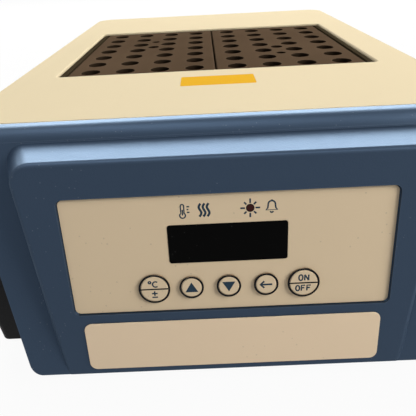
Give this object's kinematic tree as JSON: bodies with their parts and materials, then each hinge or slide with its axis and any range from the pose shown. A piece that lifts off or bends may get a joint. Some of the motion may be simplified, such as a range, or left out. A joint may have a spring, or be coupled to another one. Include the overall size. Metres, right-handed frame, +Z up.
{
  "type": "dry bath incubator",
  "caption": "Bench dry bath incubator: moulded case with a sloping key console, and lift-out aluminium tube blocks on a heater plate.",
  "frame": {"origin": "bottom centre of the bounding box, on the bench under the feet", "axes": "+Z up, +Y towards the mains inlet at the rear, the console faces -Y"},
  "size_m": [0.2, 0.3101, 0.093],
  "materials": {
    "blue_plastic": "moulded, fine grain, satin",
    "cream_panel": "smooth satin cream",
    "black_plastic": "moulded, fine texture",
    "liner_plastic": "dark heat-resistant moulding",
    "block_aluminium": "machined, dark anodised",
    "bare_aluminium": "sawn and milled",
    "silicone": "smooth silicone mat",
    "insulation": "glass fibre felt",
    "steel": "zinc plated",
    "panel_beige": "printed beige plastic",
    "window_black": "polished smoke black",
    "board_green": "circuit board",
    "lamp": "diffused lens",
    "rubber": "matt black",
    "nickel": "nickel plated",
    "fuse_glass": "clear glass with nickel caps",
    "transformer_black": "potted block"
  },
  "bodies": {
    "case": {"housing": "blue_plastic", "base_tray": "black_plastic", "top_panel": "cream_panel", "well_liner": "liner_plastic", "heater_plate": "bare_aluminium", "heater_mat": "silicone", "insulation_pad": "insulation", "heater_pan": "steel", "plate_brackets": "steel", "thermal_cutout": "steel", "temperature_probe": "steel", "control_panel": "panel_beige", "display_window": "window_black", "display_module": "black_plastic", "key_switches": "black_plastic", "indicator_lamps": "lamp", "control_board": "board_green", "lower_label": "panel_beige", "power_board": "board_green", "transformer": "transformer_black", "power_relay": "black_plastic", "triac_heat_sink": "bare_aluminium", "power_inlet": "black_plastic", "inlet_pins": "nickel", "inlet_screws": "steel", "power_switch": "black_plastic", "rubber_feet": "rubber", "case_screws": "steel"},
    "block_right": {"heating_block_right": "block_aluminium", "block_sole_right": "block_aluminium"},
    "block_left": {"heating_block_left": "block_aluminium", "block_sole_left": "block_aluminium"},
    "rocker": {"power_rocker": "black_plastic"},
    "drawer": {"fuse_drawer": "black_plastic", "fuse": "fuse_glass"},
    "set_key": {"set_key": "panel_beige"},
    "up_key": {"up_key": "panel_beige"},
    "down_key": {"down_key": "panel_beige"},
    "shift_key": {"shift_key": "panel_beige"},
    "start_key": {"start_key": "panel_beige"}
  },
  "joints": [
    {"name": "block_right_lift", "type": "slide", "parent": "case", "child": "block_right", "axis": [0, 0, 1], "range_m": [0, 0.055]},
    {"name": "block_left_lift", "type": "slide", "parent": "case", "child": "block_left", "axis": [0, 0, 1], "range_m": [0, 0.055]},
    {"name": "power_rocker_tilt", "type": "hinge", "parent": "case", "child": "rocker", "pos_m": [0.005, 0.1495, 0.067], "axis": [-1, 0, 0], "range_deg": [0, 16]},
    {"name": "fuse_drawer_slide", "type": "slide", "parent": "case", "child": "drawer", "axis": [0, 1, 0], "range_m": [0, 0.02]},
    {"name": "set_key_press", "type": "slide", "parent": "case", "child": "set_key", "axis": [0, 0.9711, -0.2385], "range_m": [0, 0.0006], "stiffness_N_per_m": 600},
    {"name": "up_key_press", "type": "slide", "parent": "case", "child": "up_key", "axis": [0, 0.9711, -0.2385], "range_m": [0, 0.0006], "stiffness_N_per_m": 600},
    {"name": "down_key_press", "type": "slide", "parent": "case", "child": "down_key", "axis": [0, 0.9711, -0.2385], "range_m": [0, 0.0006], "stiffness_N_per_m": 600},
    {"name": "shift_key_press", "type": "slide", "parent": "case", "child": "shift_key", "axis": [0, 0.9711, -0.2385], "range_m": [0, 0.0006], "stiffness_N_per_m": 600},
    {"name": "start_key_press", "type": "slide", "parent": "case", "child": "start_key", "axis": [0, 0.9711, -0.2385], "range_m": [0, 0.0006], "stiffness_N_per_m": 600}
  ]
}
